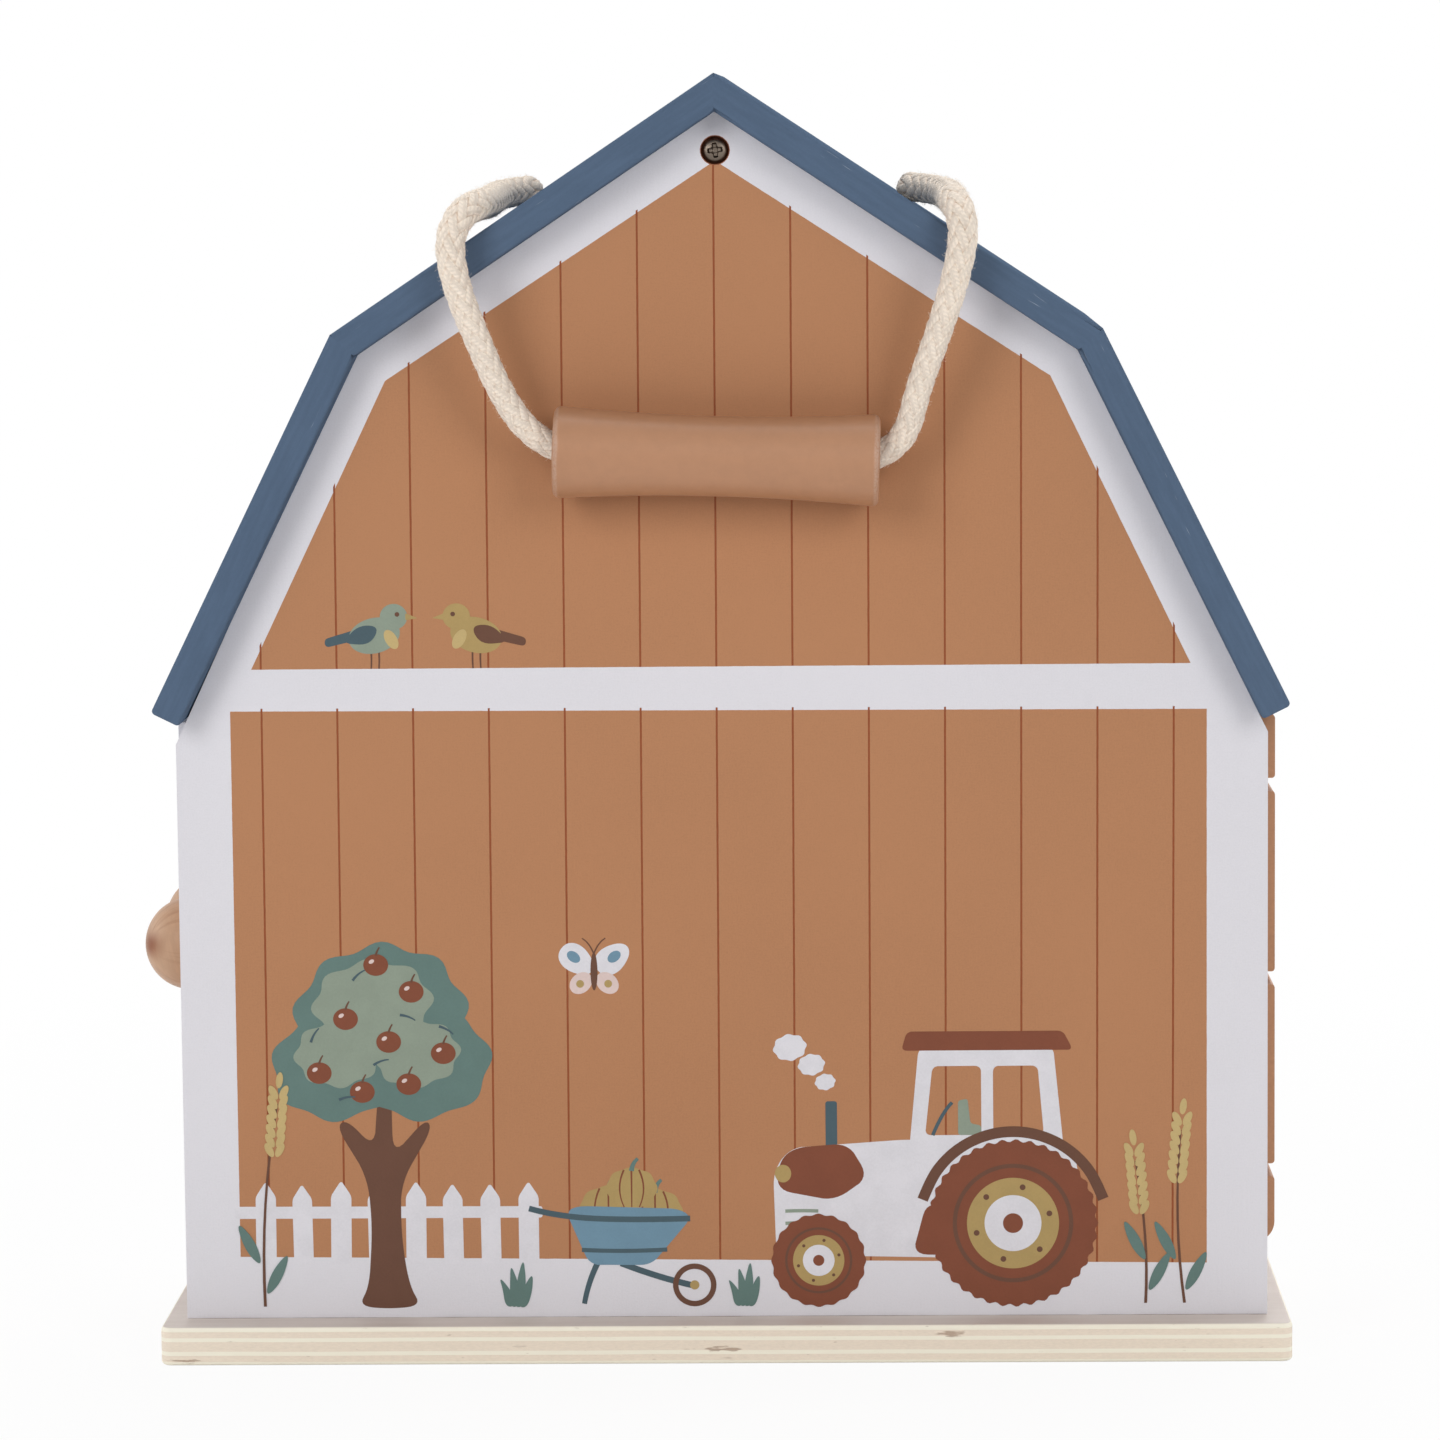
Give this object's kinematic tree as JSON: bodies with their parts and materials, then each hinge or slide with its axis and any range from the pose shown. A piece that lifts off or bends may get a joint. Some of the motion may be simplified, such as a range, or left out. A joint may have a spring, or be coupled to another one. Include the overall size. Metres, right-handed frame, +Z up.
{
  "type": "toy farmhouse",
  "caption": "Wooden toy farmhouse with a gambrel roof, a printed front gable, an open rear, a pair of side doors, a fold-down ramp and a rope carrying handle with a turned grip.",
  "frame": {"origin": "centre of the base board's underside", "axes": "+X to the right as one faces the printed gable, towards the ramp; +Y from the printed gable to the open rear; +Z up"},
  "size_m": [0.2964, 0.1294, 0.3283],
  "materials": {
    "base_wood": "clear-coated plywood with its plies at the edge",
    "front_print": "printed wood board, matt",
    "cream_paint": "matt off-white paint on wood",
    "roof_paint": "matt grey-blue paint on wood",
    "terracotta_paint": "matt terracotta paint on wood",
    "knob_wood": "oiled turned beech",
    "grip_paint": "matt paint on turned wood",
    "dowel_wood": "bare beech",
    "screw_steel": "blackened steel",
    "pin_steel": "plain drawn steel",
    "magnet_metal": "nickel plated",
    "rope": "plaited cotton"
  },
  "bodies": {
    "house": {"base_board": "base_wood", "front_gable": "front_print", "rear_gable_frame": "cream_paint", "roof_left_upper": "roof_paint", "roof_left_lower": "roof_paint", "roof_right_upper": "roof_paint", "roof_right_lower": "roof_paint", "ridge_beam": "cream_paint", "gable_screws": "screw_steel", "loft_floor": "cream_paint", "left_sill": "cream_paint", "right_sill": "cream_paint", "door_header": "cream_paint", "door_stop_rail": "cream_paint", "ramp_stop_rail": "cream_paint", "frame_dowels": "dowel_wood", "base_screws": "screw_steel", "catch_magnets": "magnet_metal", "rope_knot_left": "rope", "rope_knot_right": "rope"},
    "front_door": {"door_front_leaf": "terracotta_paint", "door_front_knob": "knob_wood", "door_front_knob_screw": "screw_steel", "door_front_pins": "pin_steel", "door_front_strike": "pin_steel"},
    "rear_door": {"door_rear_leaf": "terracotta_paint", "door_rear_knob": "knob_wood", "door_rear_knob_screw": "screw_steel", "door_rear_pins": "pin_steel", "door_rear_strike": "pin_steel"},
    "ramp": {"ramp_board": "terracotta_paint", "ramp_pins": "pin_steel", "ramp_strike": "pin_steel"},
    "handle": {"handle_rope": "rope"},
    "grip": {"handle_grip": "grip_paint"}
  },
  "joints": [
    {"name": "front_door_hinge", "type": "hinge", "parent": "house", "child": "front_door", "pos_m": [-0.13625, -0.03775, 0.0892], "axis": [0, 0, 1], "range_deg": [0, 90]},
    {"name": "rear_door_hinge", "type": "hinge", "parent": "house", "child": "rear_door", "pos_m": [-0.13625, 0.03775, 0.0892], "axis": [0, 0, -1], "range_deg": [0, 90]},
    {"name": "ramp_hinge", "type": "hinge", "parent": "house", "child": "ramp", "pos_m": [0.13605, 0, 0.0329], "axis": [0, 1, 0], "range_deg": [0, 101.5]},
    {"name": "handle_lift", "type": "hinge", "parent": "house", "child": "handle", "pos_m": [0, 0, 0.2989], "axis": [-1, 0, 0], "range_deg": [0, 140]},
    {"name": "grip_spin", "type": "hinge", "parent": "handle", "child": "grip", "pos_m": [0, -0.05925, 0.23255], "axis": [0.9994, 0, -0.0348], "continuous": true}
  ]
}
